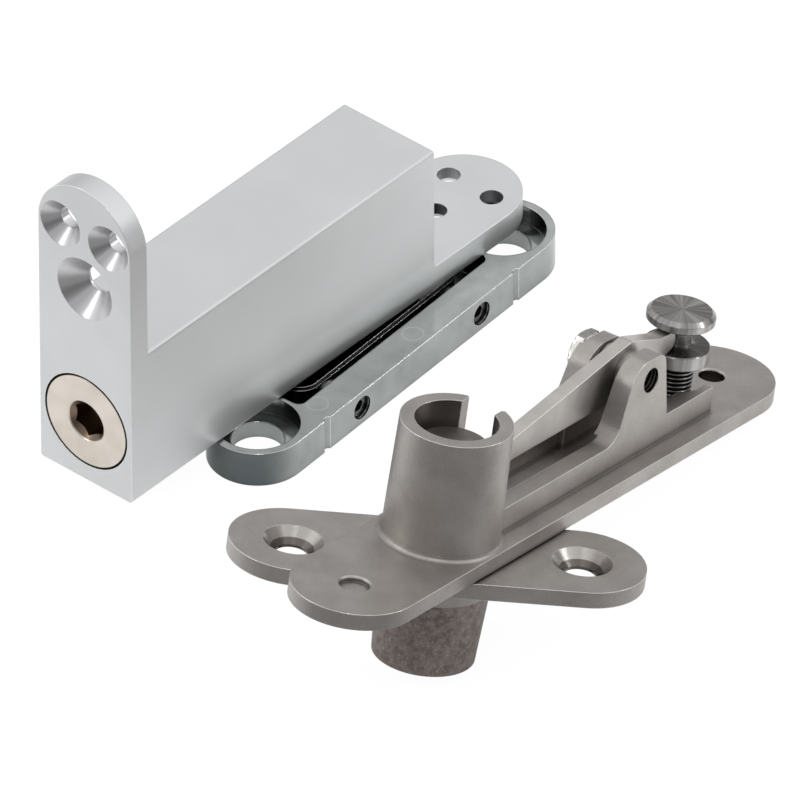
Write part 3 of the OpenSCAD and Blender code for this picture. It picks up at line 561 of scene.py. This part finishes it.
# ---------------------------------------------------------------- pieces with more detail than the solids
def piece(name, points, faces, sharp, material, body, node):
    """A closed mesh that stands for a node: points in metres, edges sharp above an angle in degrees."""
    mesh = bpy.data.meshes.new(name)
    mesh.from_pydata([tuple(point) for point in points], [], faces)
    mesh.shade_smooth()
    mesh.set_sharp_from_angle(angle=math.radians(sharp))
    mesh.update()
    made = bpy.data.objects.new(name, mesh)
    bpy.context.scene.collection.objects.link(made)
    mesh.materials.append(material)
    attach(made, body)
    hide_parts(node)
    return made


def tube_faces(rows, count):
    """Faces between rings of points, with a cap on each end."""
    faces = [tuple(reversed(range(count))), tuple(range((rows - 1) * count, rows * count))]
    for row in range(rows - 1):
        for turn in range(count):
            a, b = row * count + turn, row * count + (turn + 1) % count
            faces.append((a, b, b + count, a + count))
    return faces


def turned_piece(name, rings, foot, along, across, material, body, node):
    """A piece turned round an axis, closed at both ends, from rings of (radius, height) in millimetres."""
    beside, count = along.cross(across), len(rings[0])
    points = []
    for ring in rings:
        for turn, (radius, height) in enumerate(ring):
            angle = 2 * math.pi * turn / count
            arm = across * (radius * math.cos(angle)) + beside * (radius * math.sin(angle))
            points.append(foot + (arm + along * height) * MM)
    return piece(name, points, tube_faces(len(rings), count), 28, material, body, node)


def thread(foot, top, crest, root, pitch, around, fine):
    """Rings of a real helix between two heights, with flats on its crests and roots."""
    rings = []
    for step in range(int((top - foot) / pitch * fine) + 1):
        height = foot + step * pitch / fine
        cuts = [abs((step / fine + turn / around) % 1.0 - 0.5) * 4 - 0.5 for turn in range(around)]
        rings.append([(root + (crest - root) * min(1.0, max(0.0, cut)), height) for cut in cuts])
    return rings


def adjusting_screw():
    """Thread of 1.1 mm pitch, then collar, flared neck and disc, with turned chamfers."""
    around = 64
    collar = (
        (4.28, COLLAR_FOOT), (7.6, COLLAR_FOOT), (7.9, COLLAR_FOOT + 0.3),
        (7.9, COLLAR_TOP - 0.3), (7.6, COLLAR_TOP), (4.6, COLLAR_TOP),
    )
    neck = ((3.8, 15.45), (3.3, 15.9), (3.1, 16.6), (3.1, 20.6), (3.3, DISC_FOOT))
    disc = ((7.85, DISC_FOOT), (8.15, DISC_FOOT + 0.3), (8.15, 23.05), (7.15, 24.0))
    rings = thread(0, COLLAR_FOOT, THREAD_CREST, THREAD_ROOT, 1.1, around, 10)
    rings += [[at] * around for at in collar + neck + disc]
    turned_piece(
        "threaded_screw", rings, SCREW_FOOT, TOP_W, TOP_U, turned_steel,
        "adjusting_screw", "adjusting_screw",
    )


def lever_bolt():
    """Hexagon bolt with a chamfered head over a washer; its thread ends inside the near ear."""
    around, half_flats = 48, 5
    tip, seat, washer, top = -6.4, 7.667, 8.5, 11.267
    rings = [[(2.3, tip)] * around] + thread(tip + 0.4, 1.6, 2.97, 2.5, 1.0, around, 8)
    for at in ((2.97, seat), (5.2, seat), (5.35, seat + 0.15), (5.35, washer - 0.15), (5.2, washer)):
        rings.append([at] * around)
    # The head: six flats 10 mm apart, and the round chamfer that leaves arcs on them
    off_flat = [math.radians((turn * 360 / around + 30) % 60 - 30) for turn in range(around)]
    hexagon = [half_flats / math.cos(angle) for angle in off_flat]
    for height in (washer, top - 0.9, top - 0.6, top - 0.3, top):
        rings.append([(min(reach, 4.75 + (top - height) * 1.6), height) for reach in hexagon])
    turned_piece(
        "hexagon_bolt", rings, BOLT, TOP_V, TOP_W, bright_steel,
        "closer", "lever_bolt",
    )


def closing_spring():
    """Round wire wound in a helix, made at one length; in the closer it shortens as the cam drives the piston."""
    wire, turns = 2.6, 8
    low, high = box("main_spring")
    first, last = low.x / MM + wire / 2, high.x / MM - wire / 2
    middle = (low + high) / 2
    reach = (high.z - low.z) / MM / 2 - wire / 2
    steps, sides, points = turns * 24, 12, []
    for step in range(steps + 1):
        angle = 2 * math.pi * turns * step / steps
        for side in range(sides):
            swing = 2 * math.pi * side / sides
            radius = reach + wire / 2 * math.cos(swing)
            x = first + (last - first) * step / steps - wire / 2 * math.sin(swing)
            y, z = radius * math.cos(angle), radius * math.sin(angle)
            points.append(Vector((x * MM, middle.y + y * MM, middle.z + z * MM)))
    faces = tube_faces(steps + 1, sides)
    made = piece("wound_spring", points, faces, 60, spring_wire, "closer", "main_spring")
    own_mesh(made)


adjusting_screw()
lever_bolt()
closing_spring()


# ---------------------------------------------------------------- studio
# Towards the front the painted light on the paper falls, between two distances in millimetres, to a share of it
FLOOR_NEAR, FLOOR_FAR, FLOOR_FALL = 30, 140, 0.35
# The heights between which the room's walls become its ceiling, and the brightness of both
ROOM_LOW, ROOM_HIGH, ROOM_WALL, ROOM_TOP = 0.25, 0.6, 0.4, 0.95
# Light added on the left and from above, and what the front keeps
ROOM_LEFT, ROOM_FRONT, ROOM_ABOVE = 0.5, 0.5, 0.2
WHITE = (1, 1, 1, 1)


def beam(tree, way, aim, start, full, out_low, out_high):
    """A soft-edged glow round one direction."""
    aim = tuple(Vector(aim).normalized())
    facing = add(tree, "VectorMath", {0: way, 1: aim}, "Value", operation="DOT_PRODUCT")
    limits = {0: facing, 1: start, 2: full, 3: out_low, 4: out_high}
    return add(tree, "MapRange", limits, interpolation_type="SMOOTHSTEP")


def make_floor():
    half, low = 3.0, -0.3 * MM
    mesh = bpy.data.meshes.new("floor")
    corners = [(-half, -half, low), (half, -half, low), (half, half, low), (-half, half, low)]
    mesh.from_pydata(corners, [], [(0, 1, 2, 3)])
    floor = bpy.data.objects.new("floor", mesh)
    bpy.context.scene.collection.objects.link(floor)
    material = bpy.data.materials.new("white_paper")
    material.use_nodes = True
    tree = material.node_tree
    tree.nodes.clear()
    # Painted light: as if lit from behind the hinge, the paper's glow and colour fall off towards the front
    place = add(tree, "TexCoord", out="Object")
    toward = add(tree, "VectorMath", {0: place, 1: tuple(-AWAY)}, "Value", operation="DOT_PRODUCT")
    limits = {0: toward, 1: FLOOR_NEAR * MM, 2: FLOOR_FAR * MM, 3: 1.0, 4: FLOOR_FALL}
    fall = add(tree, "MapRange", limits, interpolation_type="SMOOTHSTEP")
    paper = add(tree, "BsdfDiffuse", {"Color": (0.8, 0.8, 0.8, 1)})
    # In the metal's reflections the paper glows, a painted light that falls off towards the front
    strength = add(tree, "Math", {0: fall, 1: 0.35}, operation="MULTIPLY")
    glow = add(tree, "Emission", {"Color": WHITE, "Strength": strength})
    faint = add(tree, "BsdfDiffuse", {"Color": add(tree, "Math", {0: fall, 1: 0.76}, operation="MULTIPLY")})
    mirrored = add(tree, "AddShader", {0: glow, 1: faint})
    # As the paper itself is seen: white, with faint shadows
    white = add(tree, "Emission", {"Color": WHITE, "Strength": 0.96})
    shade = add(tree, "BsdfDiffuse", {"Color": (0.09, 0.09, 0.09, 1)})
    backdrop = add(tree, "AddShader", {0: white, 1: shade})
    other = add(tree, "MixShader", {0: add(tree, "LightPath", out="Is Glossy Ray"), 1: paper, 2: mirrored})
    whole = add(tree, "MixShader", {0: add(tree, "LightPath", out="Is Camera Ray"), 1: other, 2: backdrop})
    add(tree, "OutputMaterial", {0: whole})
    mesh.materials.append(material)


def make_room():
    world = bpy.data.worlds.new("studio")
    bpy.context.scene.world = world
    world.use_nodes = True
    tree = world.node_tree
    tree.nodes.clear()
    way = add(tree, "TexCoord", out="Generated")
    height = add(tree, "SeparateXYZ", {0: way}, "Z")
    # Dim walls, a bright ceiling box, a bright wall to the left and a dark front
    limits = {0: height, 1: ROOM_LOW, 2: ROOM_HIGH, 3: ROOM_WALL, 4: ROOM_TOP}
    walls = add(tree, "MapRange", limits, interpolation_type="SMOOTHSTEP")
    left = beam(tree, way, (-0.35, 0.93, 0.1), 0.7, 0.95, 0.0, ROOM_LEFT)
    front = beam(tree, way, -AWAY, 0.2, 0.9, 1.0, ROOM_FRONT)
    above = beam(tree, way, (0.594, -0.4, 0.7), 0.86, 0.97, 0.0, ROOM_ABOVE)
    sides = add(tree, "Math", {0: left, 1: above})
    light = add(tree, "Math", {0: walls, 1: front, 2: sides}, operation="MULTIPLY_ADD")
    room = add(tree, "Background", {"Color": WHITE, "Strength": light})
    white = add(tree, "Background", {"Color": WHITE, "Strength": 1.0})
    whole = add(tree, "MixShader", {0: add(tree, "LightPath", out="Is Camera Ray"), 1: room, 2: white})
    add(tree, "OutputWorld", {0: whole})


def softbox(name, way, distance, size, bright):
    """A lamp of a given brightness in one direction from the hinge, turned to it."""
    data = bpy.data.lights.new(name, "AREA")
    data.shape = "RECTANGLE"
    data.size, data.size_y = size
    data.energy = bright * math.pi * size[0] * size[1]
    lamp = bpy.data.objects.new(name, data)
    way = Vector(way).normalized()
    lamp.location = TARGET + way * distance
    lamp.rotation_euler = (-way).to_track_quat("-Z", "Y").to_euler()
    lamp.visible_camera = False
    bpy.context.scene.collection.objects.link(lamp)


make_floor()
make_room()
softbox("edge_box", (0.594, -0.618, 0.515), 1.0, (0.16, 0.1), 10)
softbox("back_box", (-0.618, 0.515, 0.594), 1.0, (0.25, 0.2), 4)
softbox("rim_box", (-0.465, -0.4, 0.788), 1.0, (0.2, 0.15), 6)
